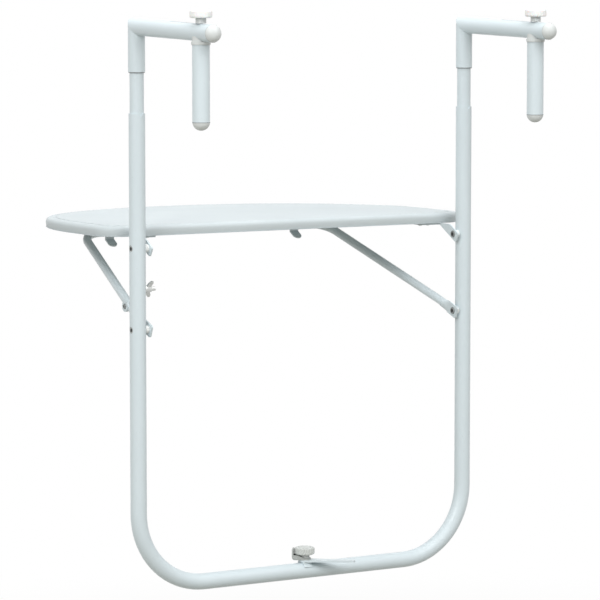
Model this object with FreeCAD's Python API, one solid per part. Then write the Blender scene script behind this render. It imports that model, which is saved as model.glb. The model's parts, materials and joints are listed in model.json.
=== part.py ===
import FreeCAD, Part
import os
import math

os.makedirs("parts", exist_ok=True)

V = FreeCAD.Vector

# Driving dimensions, in mm.
# Working frame: X across the table, Y from the railing towards the sitter, Z up,
# with the legs' axes at Y = 0 and the bottom tube's axis at Z = 0.
leg_spacing = 575.0
leg_r = 12.1
tube_r = 12.5
tube_bore_r = 10.5
bend_r = 110.0
leg_top_z = 699.0
notch_width = 7.6
notch_depth = 4.2

insert_r = 10.45
insert_bore_r = 8.95
insert_below = 119.0
insert_in_sleeve = 46.0
hook_lift = 60.0
sleeve_len = 65.5

arm_droop = 2.0
arm_end_y = -222.0
post_y = -188.5
post_travel = 80.0
slot_width = 6.6
cap_dome = 11.4
cap_plug = 14.0
plug_gap = 0.05

post_drop = 23.5
post_len = 109.0
saddle_collar_r = 13.9
saddle_collar_h = 4.4
saddle_plug = 18.0
run_gap = 0.08

stud_r = 3.0
stud_hole_r = 3.05
knob_neck_r = 7.75
knob_neck_h = 7.4
knob_disc_r = 16.1
knob_disc_h = 11.0
knob_flutes = 20
post_flute_depth = 0.35
foot_flute_depth = 0.7

hinge_z = 502.0
stay_z = 382.8
wing_z = 442.0
bolt_r = 3.0
leg_hole_r = 3.2
sunk_head_r = 5.2
sunk_head_h = 2.2
head_sink = 1.1
sleeve_r = 4.0
sleeve_head_r = 5.3
sleeve_head_h = 1.4
fit_gap = 0.03
spacer_r = 6.0
spacer_len = 4.4
ear_t = 2.5
ear_w = 15.6
ear_end = 11.5
ear_angle = 30.0
end_corner_r = 3.0
nut_af = 10.0
nut_h = 5.0

top_half_width = 320.0
top_near_y = 34.0
top_round_y = 161.0
top_round_depth = 299.0
top_corner_r = 70.0
top_z = 533.0
rim_z = 516.8
top_edge_r = 5.0
skirt_t = 3.2
panel_t = 4.0
rib_h = 3.0
rib_t = 2.6
weave_inset = 15.0
weave_sink = 0.6

flange_w = 35.0
flange_t = 2.5
flange_y0 = 38.5
flange_step_y = 45.0
flange_y1 = 62.0
flange_step = 8.5
flange_screw_in = (14.5, 28.5)
flange_screw_y = 53.0
boss_r = 5.5
screw_r = 2.1

stay_tube_r = 6.5
stay_bar_y = 302.0
stay_bar_z = 502.4
stay_bend_r = 38.0
stay_toe_in = 48.1
stay_leg_gap = 0.6
stay_flat_t = 2.5
stay_flat_w = 18.6
stay_end_len = 10.0
stay_knee = 37.0
block_w = 20.0
block_len = 26.0
catch_x = 168.5
catch_w = 15.0
catch_t = 2.0
catch_angle = 31.5
catch_drop = 6.5
catch_reach = 18.0

lug_along = 76.0
lug_r = 8.5
lug_t = 2.6
lug_rivet_r = 3.9
wing_gap = 1.2
wing_reach = 16.5
wing_turn = 28.0

foot_x = -1.3
clip_w = 14.0
clip_t = 1.6
foot_bar_t = 3.0
foot_bar_len = 77.0
foot_bar_angle = -36.5
stop_t = 2.5
stop_w = 19.0
stop_reach = 16.2
stop_h = 16.5
stop_bend_r = 4.5
foot_knob_r = 15.2
foot_neck_r = 7.6
foot_neck_h = 5.6


sleeve_bottom_z = leg_top_z + hook_lift
arm_z = sleeve_bottom_z + sleeve_len
insert_bottom_z = leg_top_z - insert_below
insert_top_z = sleeve_bottom_z + insert_in_sleeve
post_top_z = arm_z - post_drop
post_bottom_z = post_top_z - post_len
saddle_plug_bottom_z = post_top_z - saddle_plug
leg_x = leg_spacing / 2.0
leg_in_x = leg_x - leg_r
ear_x = leg_in_x - spacer_len
ear_in_x = ear_x - ear_t
droop = math.radians(arm_droop)

# The row frame has its origin at the rail seat: under the arms, midway between legs and posts.
seat_y = post_y / 2.0
seat_z = arm_z + seat_y * math.tan(droop) - tube_r / math.cos(droop)
print("seat", seat_y, seat_z)
parts = {}


def cyl(r, a, b):
    d = b.sub(a)
    return Part.makeCylinder(r, d.Length, a, d)


def box(x0, x1, y0, y1, z0, z1):
    return Part.makeBox(x1 - x0, y1 - y0, z1 - z0, V(x0, y0, z0))


def add(name, shape):
    parts[name] = shape


def mirror_x(shape):
    return shape.mirror(V(0, 0, 0), V(1, 0, 0))


def rounded_path(points, radii):
    edges = []
    start = points[0]
    for i in range(1, len(points) - 1):
        b = points[i]
        u = points[i - 1].sub(b)
        v = points[i + 1].sub(b)
        u.normalize()
        v.normalize()
        half = u.getAngle(v) / 2.0
        r = radii[i - 1]
        t = r / math.tan(half)
        p = b + u * t
        q = b + v * t
        mid = u + v
        mid.normalize()
        m = b + mid * (r / math.sin(half) - r)
        edges.append(Part.makeLine(start, p))
        edges.append(Part.Arc(p, m, q).toShape())
        start = q
    edges.append(Part.makeLine(start, points[-1]))
    return Part.Wire(edges)


def pipe(path, r):
    e = path.Edges[0]
    a = e.valueAt(e.FirstParameter)
    d = e.tangentAt(e.FirstParameter)
    ring = Part.Wire([Part.makeCircle(r, a, d)])
    return path.makePipeShell([ring], True, True)


def revolve_z(points, x, y):
    pts = [V(x + p[0], y, p[1]) for p in points]
    face = Part.Face(Part.makePolygon(pts + [pts[0]]))
    return face.revolve(V(x, y, 0), V(0, 0, 1), 360)


def hexagon(af, h, centre, axis):
    r = af / math.sqrt(3.0)
    pts = []
    for i in range(7):
        a = math.radians(60.0 * i)
        pts.append(V(r * math.cos(a), r * math.sin(a), 0))
    s = Part.Face(Part.makePolygon(pts)).extrude(V(0, 0, h))
    s.Placement = FreeCAD.Placement(centre, FreeCAD.Rotation(V(0, 0, 1), axis))
    return s


def dome_cap(end, axis):
    # A domed plastic end cap: a spherical cap outside the tube and a plug inside it.
    sphere_r = (tube_r ** 2 + cap_dome ** 2) / (2.0 * cap_dome)
    arc = Part.Arc(V(tube_r, 0, 0), V(sphere_r * math.sin(0.75), 0, cap_dome - sphere_r * (1 - math.cos(0.75))),
                   V(0, 0, cap_dome))
    plug_r = tube_bore_r - plug_gap
    pts = [V(0, 0, cap_dome), V(0, 0, -cap_plug), V(plug_r - 1.0, 0, -cap_plug), V(plug_r, 0, -cap_plug + 1.5),
           V(plug_r, 0, 0), V(tube_r, 0, 0)]
    edges = [Part.makeLine(pts[i], pts[i + 1]) for i in range(len(pts) - 1)]
    wire = Part.Wire(edges + [arc.toShape()])
    s = Part.Face(wire).revolve(V(0, 0, 0), V(0, 0, 1), 360)
    if s.Volume < 0:
        s.reverse()
    s.Placement = FreeCAD.Placement(end, FreeCAD.Rotation(V(0, 0, 1), axis))
    return s


def sunk_head(z, gap):
    # The countersunk head of a pivot bolt, a little below the crown of the leg's outer wall.
    face_x = leg_x + leg_r - head_sink
    cone = Part.makeCone(bolt_r + gap, sunk_head_r + gap, sunk_head_h, V(face_x - sunk_head_h, 0, z), V(1, 0, 0))
    if gap:
        cone = cone.fuse(cyl(sunk_head_r + gap, V(face_x, 0, z), V(face_x + head_sink + 1.0, 0, z)))
        cone = cone.fuse(cyl(bolt_r + gap, V(leg_x, 0, z), V(face_x - sunk_head_h + 0.1, 0, z)))
    return cone


# Frame tube: two legs, two bends and the bottom tube in one piece.
u_path = rounded_path([V(-leg_x, 0, leg_top_z), V(-leg_x, 0, 0), V(leg_x, 0, 0), V(leg_x, 0, leg_top_z)],
                      [bend_r, bend_r])
frame = pipe(u_path, leg_r).cut(pipe(u_path, tube_bore_r))
for s in (-1, 1):
    notch = Part.Face(Part.makePolygon([
        V(s * leg_x - notch_width / 2.0, -leg_r - 1, leg_top_z + 0.01),
        V(s * leg_x + notch_width / 2.0, -leg_r - 1, leg_top_z + 0.01),
        V(s * leg_x, -leg_r - 1, leg_top_z - notch_depth),
        V(s * leg_x - notch_width / 2.0, -leg_r - 1, leg_top_z + 0.01)])).extrude(V(0, leg_r, 0))
    frame = frame.cut(notch)
    for z in (hinge_z, stay_z):
        frame = frame.cut(cyl(sleeve_r + fit_gap, V(s * (leg_in_x - 1.0), 0, z), V(s * leg_x, 0, z)))
        sunk = sunk_head(z, fit_gap)
        frame = frame.cut(sunk if s > 0 else mirror_x(sunk))
frame = frame.cut(cyl(stud_hole_r, V(-leg_x, 0, wing_z), V(-leg_in_x + 1.0, 0, wing_z)))
frame = frame.cut(cyl(4.4 + fit_gap, V(foot_x, 0, 0), V(foot_x, 0, leg_r + 1.0)))
add("frame_tube", frame)

# Hook: a mitred sleeve and arm in one welded tube, over the telescopic insert.
mitre_w = 8.0 * tube_r
mitre_l = -4.0 * arm_end_y
half_big = Part.makeBox(2.0 * mitre_w, mitre_l, mitre_l / 2.0, V(-mitre_w, -mitre_l / 2.0, 0))
half_big.Placement = FreeCAD.Placement(V(0, 0, arm_z), FreeCAD.Rotation(V(1, 0, 0), 45.0 + arm_droop / 2.0))
arm_dir = V(0, -math.cos(droop), -math.sin(droop))


def on_arm(y):
    # The point of the arm's axis above this Y.
    return V(0, y, arm_z + y * math.tan(droop))


def elbow(r_sleeve, r_arm):
    up = cyl(r_sleeve, V(0, 0, sleeve_bottom_z), V(0, 0, arm_z + 3.0 * tube_r))
    out = cyl(r_arm, on_arm(3.0 * tube_r), on_arm(arm_end_y))
    out = out.common(half_big)
    up = up.cut(half_big)
    return up.fuse(out)


hook = elbow(tube_r, tube_r).cut(elbow(insert_r, tube_bore_r))
slot_a = post_y - 3.6
slot_b = post_y + post_travel + 3.6
post_z = on_arm(post_y).z
slot_h = 2.0 * tube_r
slot = box(-slot_width / 2.0, slot_width / 2.0, slot_a, slot_b, post_z - slot_h, post_z + slot_h)
for y in (slot_a, slot_b):
    slot = slot.fuse(cyl(slot_width / 2.0, V(0, y, post_z - slot_h), V(0, y, post_z + slot_h)))
hook = hook.cut(slot)

insert = cyl(insert_r, V(0, 0, insert_bottom_z), V(0, 0, insert_top_z))
insert = insert.cut(cyl(insert_bore_r, V(0, 0, insert_bottom_z - 1), V(0, 0, insert_top_z + 1)))

arm_cap = dome_cap(on_arm(arm_end_y), arm_dir)

# Clamp post: saddle under the arm, tube, domed foot, and a screw with its knob above the arm.
saddle = cyl(tube_r, V(0, post_y, post_top_z), V(0, post_y, post_z - 5.0))
saddle = saddle.fuse(cyl(saddle_collar_r, V(0, post_y, post_top_z), V(0, post_y, post_top_z + saddle_collar_h)))
saddle = saddle.fuse(cyl(tube_bore_r, V(0, post_y, saddle_plug_bottom_z), V(0, post_y, post_top_z)))
saddle = saddle.removeSplitter()
saddle = saddle.cut(cyl(tube_r + run_gap, on_arm(post_y - 3.0 * tube_r), on_arm(post_y + 3.0 * tube_r)))
saddle = saddle.cut(cyl(stud_r + 0.4, V(0, post_y, saddle_plug_bottom_z - 1), V(0, post_y, post_z)))
nut_pocket = hexagon(nut_af, nut_h, V(0, post_y, saddle_plug_bottom_z), V(0, 0, 1))
saddle = saddle.cut(nut_pocket)
post_nut = nut_pocket.cut(cyl(stud_hole_r, V(0, post_y, saddle_plug_bottom_z - 1),
                              V(0, post_y, saddle_plug_bottom_z + nut_h + 1)))
post = cyl(tube_r, V(0, post_y, post_bottom_z), V(0, post_y, post_top_z))
post = post.cut(cyl(tube_bore_r, V(0, post_y, post_bottom_z - 1), V(0, post_y, post_top_z + 1)))
post_cap = dome_cap(V(0, post_y, post_bottom_z), V(0, 0, -1))


def knob_disc(x, y, z, r, h, flute_depth):
    # A moulded disc with a rounded, fluted rim and a shallow dish on top.
    pts = [(0, z), (r - 2.2, z), (r - 0.7, z + 0.8), (r, z + 2.4), (r, z + h - 2.4), (r - 0.7, z + h - 0.8),
           (r - 2.4, z + h), (r - 5.0, z + h), (r - 6.2, z + h - 0.8), (0, z + h - 0.8)]
    s = revolve_z(pts, x, y)
    for i in range(knob_flutes):
        a = 2.0 * math.pi * i / knob_flutes
        cx = x + (r + 1.4 - flute_depth) * math.cos(a)
        cy = y + (r + 1.4 - flute_depth) * math.sin(a)
        s = s.cut(cyl(1.4, V(cx, cy, z - 1), V(cx, cy, z + h + 1)))
    return s


def knob_neck(x, y, z, r, h):
    # A ringed ferrule: the metal neck that bears on what it clamps.
    pts = [(0, z), (r - 0.5, z), (r, z + 0.5)]
    n = 3
    step = (h - 1.0) / n
    for i in range(n):
        z0 = z + 0.5 + i * step
        pts += [(r, z0 + step * 0.55), (r - 0.7, z0 + step * 0.7), (r - 0.7, z0 + step * 0.85), (r, z0 + step)]
    pts += [(r, z + h), (0, z + h)]
    return revolve_z(pts, x, y)


neck_z = post_z + tube_r / math.cos(droop) + knob_neck_r * math.tan(droop) + 0.05
disc_z = neck_z + knob_neck_h
post_knob = knob_disc(0, post_y, disc_z, knob_disc_r, knob_disc_h, post_flute_depth)
post_neck = knob_neck(0, post_y, neck_z, knob_neck_r, knob_neck_h)
post_stud = cyl(stud_r, V(0, post_y, saddle_plug_bottom_z - 4.0), V(0, post_y, disc_z + 6.0))
post_knob = post_knob.cut(post_stud)
post_neck = post_neck.cut(post_stud)

for side, s in (("left", -1), ("right", 1)):
    move = V(s * leg_x, 0, 0)
    for name, shape in (("insert_tube", insert), ("hook_arm", hook), ("arm_end_cap", arm_cap),
                        ("post_saddle", saddle), ("post_tube", post), ("post_end_cap", post_cap),
                        ("post_nut", post_nut), ("post_screw", post_stud), ("post_knob", post_knob),
                        ("post_knob_neck", post_neck)):
        c = shape.copy()
        c.translate(move)
        add(name + "_" + side, c)


# Pivot hardware on the right leg, then mirrored for the left one: a countersunk bolt from outside,
# and a sleeve nut from inside that carries the spacer and the turning piece.
def hex_socket(face_x, z, out):
    return hexagon(4.0, 1.7, V(face_x - out * 1.6, 0, z), V(out, 0, 0))


def pivot_bolt(z, turning_in_x):
    face_x = leg_x + leg_r - head_sink
    shank = cyl(bolt_r, V(face_x - sunk_head_h, 0, z), V(turning_in_x + 1.0, 0, z))
    return shank.fuse(sunk_head(z, 0.0)).removeSplitter().cut(hex_socket(face_x, z, 1.0))


def leg_spacer(z, inner_x, bore_r):
    w = cyl(spacer_r, V(leg_x - leg_r / 2.0, 0, z), V(inner_x, 0, z))
    w = w.cut(cyl(leg_r, V(leg_x, 0, z - 2.0 * leg_r), V(leg_x, 0, z + 2.0 * leg_r)))
    return w.cut(cyl(bore_r, V(leg_x, 0, z), V(inner_x - 1, 0, z)))


def sleeve_nut(z, turning_in_x):
    s = cyl(sleeve_r, V(turning_in_x, 0, z), V(leg_in_x + 2.5, 0, z))
    head = cyl(sleeve_head_r, V(turning_in_x - sleeve_head_h, 0, z), V(turning_in_x, 0, z))
    edge = [e for e in head.Edges if e.Closed and abs(e.BoundBox.XMin - (turning_in_x - sleeve_head_h)) < 1e-6
            and e.BoundBox.XLength < 1e-6]
    head = head.makeFillet(1.0, edge)
    s = s.fuse(head).removeSplitter()
    s = s.cut(cyl(bolt_r + fit_gap, V(turning_in_x + 0.2, 0, z), V(leg_x, 0, z)))
    return s.cut(hex_socket(turning_in_x - sleeve_head_h, z, -1.0))


stay_in_x = ear_x - stay_flat_t
pivot_hole_r = sleeve_r + run_gap
for kind, z, inner_x in (("hinge", hinge_z, ear_in_x), ("stay", stay_z, stay_in_x)):
    for part_name, shape in (("bolt", pivot_bolt(z, inner_x)), ("spacer", leg_spacer(z, ear_x, sleeve_r + fit_gap)),
                             ("nut", sleeve_nut(z, inner_x))):
        add(kind + "_" + part_name + "_right", shape)
        add(kind + "_" + part_name + "_left", mirror_x(shape))

# Wing-nut stud in the inner wall of the left leg, with its thin saddle washer.
wing_base_x = leg_in_x - wing_gap
wing_tip_x = leg_in_x - wing_reach
collar_x = leg_x - math.sqrt(tube_bore_r ** 2 - 5.0 ** 2) + 0.1
wing_stud = cyl(stud_r, V(collar_x + 1.6, 0, wing_z), V(wing_tip_x, 0, wing_z))
wing_stud = wing_stud.fuse(cyl(5.0, V(collar_x, 0, wing_z), V(collar_x + 1.6, 0, wing_z))).removeSplitter()
add("wing_stud", mirror_x(wing_stud))
add("wing_washer", mirror_x(leg_spacer(wing_z, wing_base_x, stud_hole_r)))
hub_x = -wing_base_x + 0.05
hub = Part.makeCone(6.0, 4.6, 8.5, V(hub_x, 0, wing_z), V(1, 0, 0))
wing = hub
for s in (-1, 1):
    outline_yz = ((0.3, 0.0), (6.4, 3.0), (9.9, 9.7), (9.3, 13.2), (6.1, 13.6), (2.5, 9.3), (0.3, 4.8))
    pts = [V(hub_x + px, -1.3, wing_z + s * pz) for px, pz in outline_yz]
    wing = wing.fuse(Part.Face(Part.makePolygon(pts + [pts[0]])).extrude(V(0, 2.6, 0)))
wing = wing.removeSplitter().cut(cyl(stud_hole_r, V(hub_x - 1, 0, wing_z), V(hub_x + 20, 0, wing_z)))
wing.rotate(V(0, 0, wing_z), V(1, 0, 0), wing_turn)
add("wing_nut", wing)


def plate(circles, t):
    # A flat plate lying at Z = 0: the hull of two round ends.
    (xa, ya, ra), (xb, yb, rb) = circles
    d = math.hypot(xb - xa, yb - ya)
    base = math.atan2(yb - ya, xb - xa)
    off = math.acos((ra - rb) / d)
    pts = []
    for sgn in (1, -1):
        a = base + sgn * off
        pts.append(V(xa + ra * math.cos(a), ya + ra * math.sin(a), 0))
        pts.append(V(xb + rb * math.cos(a), yb + rb * math.sin(a), 0))
    quad = Part.Face(Part.makePolygon([pts[0], pts[1], pts[3], pts[2], pts[0]])).extrude(V(0, 0, t))
    s = quad.fuse(cyl(ra, V(xa, ya, 0), V(xa, ya, t))).fuse(cyl(rb, V(xb, yb, 0), V(xb, yb, t)))
    return s.removeSplitter()


# Tabletop: a moulded half-round tray, open below, with a skirt, ribs and screw bosses.
def outline(inset):
    # An ellipse cut off by the near edge, with the two corners rounded.
    a = top_half_width - inset
    b = top_round_depth - inset
    r = top_corner_r - inset
    yn = top_near_y + inset
    corner_y = yn + r
    # Find where a circle of radius r touches both the near edge and the ellipse from inside.
    low = 0.5 * a
    high = a
    for step in range(60):
        cx = 0.5 * (low + high)
        nearest = 1e9
        for i in range(721):
            t = -0.5 * math.pi + math.pi * i / 1440.0
            d = math.hypot(a * math.cos(t) - cx, top_round_y + b * math.sin(t) - corner_y)
            if d < nearest:
                nearest = d
                touch = t
        if nearest > r:
            low = cx
        else:
            high = cx
    tx = a * math.cos(touch)
    ty = top_round_y + b * math.sin(touch)
    if a >= b:
        el = Part.Ellipse(V(0, top_round_y, 0), a, b)
        first = touch
    else:
        el = Part.Ellipse(V(0, top_round_y + b, 0), V(-a, top_round_y, 0), V(0, top_round_y, 0))
        first = touch - 0.5 * math.pi
    arc = Part.ArcOfEllipse(el, first, first + math.pi - 2.0 * touch).toShape()
    mid = V(tx - cx, ty - corner_y, 0)
    mid.normalize()
    mid = mid + V(0, -1, 0)
    mid.normalize()
    m = V(cx, corner_y, 0) + mid * r
    end_r = arc.valueAt(arc.FirstParameter)
    end_l = arc.valueAt(arc.LastParameter)
    edges = [arc, Part.Arc(end_l, V(-m.x, m.y, 0), V(-cx, yn, 0)).toShape(),
             Part.makeLine(V(-cx, yn, 0), V(cx, yn, 0)),
             Part.Arc(V(cx, yn, 0), m, end_r).toShape()]
    return Part.Face(Part.Wire(Part.__sortEdges__(edges)))


def prism(inset, z0, z1):
    f = outline(inset)
    f.translate(V(0, 0, z0))
    return f.extrude(V(0, 0, z1 - z0))


slab = prism(0, rim_z, top_z)
top_edges = [e for e in slab.Edges if abs(e.BoundBox.ZMin - top_z) < 1e-6 and abs(e.BoundBox.ZMax - top_z) < 1e-6]
slab = slab.makeFillet(top_edge_r, top_edges)
low_edges = [e for e in slab.Edges if abs(e.BoundBox.ZMin - rim_z) < 1e-6 and abs(e.BoundBox.ZMax - rim_z) < 1e-6]
slab = slab.makeFillet(1.2, low_edges)
under_z = top_z - panel_t
tray = slab.cut(prism(skirt_t, rim_z - 1, under_z))
tray = tray.cut(prism(weave_inset, top_z - weave_sink, top_z + 1))
inner = prism(skirt_t - 0.4, rim_z, under_z + 0.4)
far_y = top_round_y + top_round_depth
ribs = []
for k in (-2.5, -1.5, -0.5, 0.5, 1.5, 2.5):
    x = k * top_half_width / 3.2
    ribs.append(box(x - rib_t / 2.0, x + rib_t / 2.0, 0, far_y, under_z - rib_h, under_z + 0.4))
for k in (0.25, 0.5, 0.75):
    y = top_near_y + k * (far_y - top_near_y)
    ribs.append(box(-top_half_width, top_half_width, y - rib_t / 2.0, y + rib_t / 2.0, under_z - rib_h, under_z + 0.4))
rib_set = ribs[0].multiFuse(ribs[1:]).common(inner)
tray = tray.fuse(rib_set)
block_z = stay_bar_z + stay_tube_r + 0.03
for s in (-1, 1):
    x = s * catch_x
    tray = tray.fuse(box(x - block_w / 2.0, x + block_w / 2.0, stay_bar_y - block_len / 2.0,
                         stay_bar_y + block_len / 2.0, block_z, under_z + 0.4))
    for d in flange_screw_in:
        x = s * (ear_x - d)
        tray = tray.fuse(cyl(boss_r, V(x, flange_screw_y, rim_z), V(x, flange_screw_y, under_z + 0.4)))
tray = tray.removeSplitter()
for s in (-1, 1):
    for d in flange_screw_in:
        x = s * (ear_x - d)
        tray = tray.cut(cyl(screw_r, V(x, flange_screw_y, rim_z - 1), V(x, flange_screw_y, rim_z + 10)))
add("tabletop", tray)

# Hinge bracket: an ear beside the leg, folded to a flange that is screwed under the tabletop.
flange_z = rim_z - flange_t
flange_in_x = ear_x - flange_w
rise = rim_z - hinge_z
slant = V(0, math.cos(math.radians(ear_angle)), math.sin(math.radians(ear_angle)))
across = V(0, -slant.z, slant.y)
ear_pivot = V(ear_in_x, 0, hinge_z)


def strap_end(at, along, side, w, end_len, reach, t):
    # A flat strap with a square, round-cornered end beyond the pivot, t thick towards +X.
    r = end_corner_r
    h = w / 2.0
    pts = [at + along * reach + side * h, at + along * (r - end_len) + side * h,
           at - along * end_len + side * (h - r), at - along * end_len - side * (h - r),
           at + along * (r - end_len) - side * h, at + along * reach - side * h]
    c = r * (1.0 - math.sqrt(0.5))
    mid_a = at + along * (c - end_len) + side * (h - c)
    mid_b = at + along * (c - end_len) - side * (h - c)
    wire = Part.Wire([Part.makeLine(pts[0], pts[1]), Part.Arc(pts[1], mid_a, pts[2]).toShape(),
                      Part.makeLine(pts[2], pts[3]), Part.Arc(pts[3], mid_b, pts[4]).toShape(),
                      Part.makeLine(pts[4], pts[5]), Part.makeLine(pts[5], pts[0])])
    return Part.Face(wire).extrude(V(t, 0, 0))


ear_reach = (rise + ear_w) / slant.z
ear = strap_end(ear_pivot, slant, across, ear_w, ear_end, ear_reach, ear_t)
ear = ear.common(box(ear_in_x - 1, ear_x + 1, -50.0, flange_step_y, hinge_z - 50.0, rim_z))
ear = ear.fuse(box(flange_in_x, ear_x, flange_y0, flange_step_y, flange_z, rim_z))
ear = ear.fuse(box(flange_in_x, ear_x - flange_step, flange_step_y - 1.0, flange_y1, flange_z, rim_z))
ear = ear.removeSplitter()
ear = ear.cut(cyl(pivot_hole_r, V(ear_in_x - 5, 0, hinge_z), V(ear_x + 5, 0, hinge_z)))
screws = []
for d in flange_screw_in:
    x = ear_x - d
    ear = ear.cut(cyl(screw_r + fit_gap, V(x, flange_screw_y, flange_z - 1), V(x, flange_screw_y, rim_z + 1)))
    head = Part.makeSphere(5.2, V(x, flange_screw_y, flange_z + 3.0))
    head = head.common(box(x - 7, x + 7, flange_screw_y - 7, flange_screw_y + 7, flange_z - 4, flange_z))
    screws.append(head.fuse(cyl(screw_r, V(x, flange_screw_y, flange_z), V(x, flange_screw_y, rim_z + 9.0)))
                  .removeSplitter())
for side, s in (("left", -1), ("right", 1)):
    add("hinge_bracket_" + side, ear if s > 0 else mirror_x(ear))
    pair = Part.makeCompound(screws)
    add("bracket_screws_" + side, pair if s > 0 else mirror_x(pair))

# Stay: one bent round bar with flattened, rounded ends, and two catch tongues under its crossbar.
slope = math.atan2(stay_bar_z - stay_z, stay_bar_y)
lie = V(0, math.cos(slope), math.sin(slope))
up = V(0, -math.sin(slope), math.cos(slope))
plate_x = ear_x - stay_flat_t / 2.0
mid_x = leg_in_x - stay_tube_r - stay_leg_gap
stay_half_bar = mid_x - stay_toe_in
pivot = V(mid_x, 0, stay_z)
end_b = pivot + lie * 27.0
knee = pivot + lie * stay_knee
path = rounded_path([V(-p.x, p.y, p.z) for p in (end_b, knee)] + [V(-stay_half_bar, stay_bar_y, stay_bar_z),
                    V(stay_half_bar, stay_bar_y, stay_bar_z)] + [knee, end_b], [40.0, stay_bend_r, stay_bend_r, 40.0])
stay = pipe(path, stay_tube_r)


def oval(along, a, b, shift):
    c = pivot + lie * along + V((plate_x - mid_x) * (1.0 - shift), 0, 0)
    return Part.Wire([Part.Ellipse(c + up * a, c + V(b, 0, 0), c).toShape()])


flat = strap_end(V(plate_x - stay_flat_t / 2.0, 0, stay_z), lie, up, stay_flat_w, stay_end_len, 14.0, stay_flat_t)
half_w = stay_flat_w / 2.0
half_t = stay_flat_t / 2.0
swell = Part.makeLoft([oval(10.0, half_w - 0.1, half_t - 0.1, 0.0), oval(16.0, half_w - 0.4, half_t + 0.35, 0.1),
                       oval(22.0, half_w - 1.3, 0.55 * stay_tube_r, 0.5),
                       oval(28.0, stay_tube_r + 0.5, stay_tube_r - 0.6, 0.95),
                       oval(33.0, stay_tube_r - 0.4, stay_tube_r - 0.5, 1.0)], True, False)
stay_end = flat.fuse(swell).removeSplitter()
stay_end = stay_end.cut(cyl(pivot_hole_r, V(plate_x - 10, 0, stay_z), V(plate_x + 10, 0, stay_z)))
stay = stay.fuse(stay_end).fuse(mirror_x(stay_end)).removeSplitter()
add("stay_bar", stay)

# Each tongue is a bent strip: a short leg on the far side of the crossbar, and a rounded tongue below it.
ca = math.cos(math.radians(catch_angle))
sa = math.sin(math.radians(catch_angle))
drop = stay_tube_r + catch_drop
leg_y = stay_bar_y + stay_tube_r
for name, x in (("catch_tongue_left", -catch_x), ("catch_tongue_right", catch_x)):
    flat_len = catch_reach - catch_w / 2.0 + 1.0
    strip = box(-catch_w / 2.0, catch_w / 2.0, -flat_len + 1.0, 1.0 + catch_t, -catch_t, 0)
    strip = strip.fuse(cyl(catch_w / 2.0, V(0, -flat_len + 1.0, -catch_t), V(0, -flat_len + 1.0, 0)))
    strip.Placement = FreeCAD.Placement(V(x, stay_bar_y + sa * drop, stay_bar_z - ca * drop),
                                        FreeCAD.Rotation(V(1, 0, 0), catch_angle))
    strip = strip.cut(box(x - catch_w, x + catch_w, leg_y + catch_t, leg_y + 30.0, stay_bar_z - 60.0, stay_bar_z + 20.0))
    low_z = stay_bar_z - ca * drop - (sa * drop - stay_tube_r) / ca * sa
    upright = box(x - catch_w / 2.0, x + catch_w / 2.0, leg_y, leg_y + catch_t, low_z, stay_bar_z + 3.5)
    add(name, strip.fuse(upright).removeSplitter())

# Round lug riveted to the outer side of the left side bar.
lug_at = pivot + lie * lug_along
lug_bar_x = mid_x - stay_toe_in * (lug_along - stay_knee) / (math.hypot(stay_bar_y, stay_bar_z - stay_z) - stay_knee)
lug_x = lug_bar_x + stay_tube_r
lug = cyl(lug_r, V(lug_x - 0.6, lug_at.y, lug_at.z), V(lug_x + lug_t, lug_at.y, lug_at.z))
lug = lug.cut(parts["stay_bar"])
rivet = cyl(lug_rivet_r, V(lug_x + lug_t, lug_at.y, lug_at.z), V(lug_x + lug_t + 1.6, lug_at.y, lug_at.z))
rivet_rim = [e for e in rivet.Edges if e.Closed and e.BoundBox.XLength < 1e-6 and e.BoundBox.XMax > lug_x + lug_t + 1.0]
rivet = rivet.makeFillet(0.9, rivet_rim).fuse(cyl(2.2, V(lug_x - 0.3, lug_at.y, lug_at.z),
                                              V(lug_x + lug_t + 0.5, lug_at.y, lug_at.z))).removeSplitter()
rivet = rivet.cut(cyl(1.7, V(lug_x + lug_t + 0.4, lug_at.y, lug_at.z), V(lug_x + lug_t + 4.0, lug_at.y, lug_at.z)))
lug = lug.cut(cyl(2.2 + fit_gap, V(lug_x - 5.0, lug_at.y, lug_at.z), V(lug_x + 5.0, lug_at.y, lug_at.z)))
rivet = rivet.cut(parts["stay_bar"])
add("stay_lug", mirror_x(lug))
add("lug_rivet", mirror_x(rivet))

# Foot: a saddle on the bottom tube, a swinging spacer bar, its screw and knob.
saddle_r = leg_r + clip_t
clip = cyl(saddle_r, V(-clip_w / 2.0, 0, 0), V(clip_w / 2.0, 0, 0))
clip = clip.fuse(box(-clip_w / 2.0, clip_w / 2.0, -8.0, 8.0, 9.0, saddle_r)).removeSplitter()
clip = clip.cut(cyl(leg_r + fit_gap, V(-clip_w, 0, 0), V(clip_w, 0, 0)))
clip = clip.common(box(-clip_w, clip_w, -2.0 * leg_r, 2.0 * leg_r, 0.55 * leg_r, 2.0 * leg_r))
clip = clip.cut(cyl(leg_hole_r, V(0, 0, 0), V(0, 0, 2.0 * leg_r)))
bar_bottom = saddle_r
tip_w = 6.0
root_w = 9.5
foot_bar = plate([(0, 0, root_w), (foot_bar_len - tip_w, 0, tip_w)], foot_bar_t)
foot_bar.translate(V(0, 0, bar_bottom))
foot_bar = foot_bar.cut(cyl(bolt_r + run_gap, V(0, 0, bar_bottom - 1), V(0, 0, bar_bottom + 10)))
foot_bar.rotate(V(0, 0, 0), V(0, 0, 1), foot_bar_angle)

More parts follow.
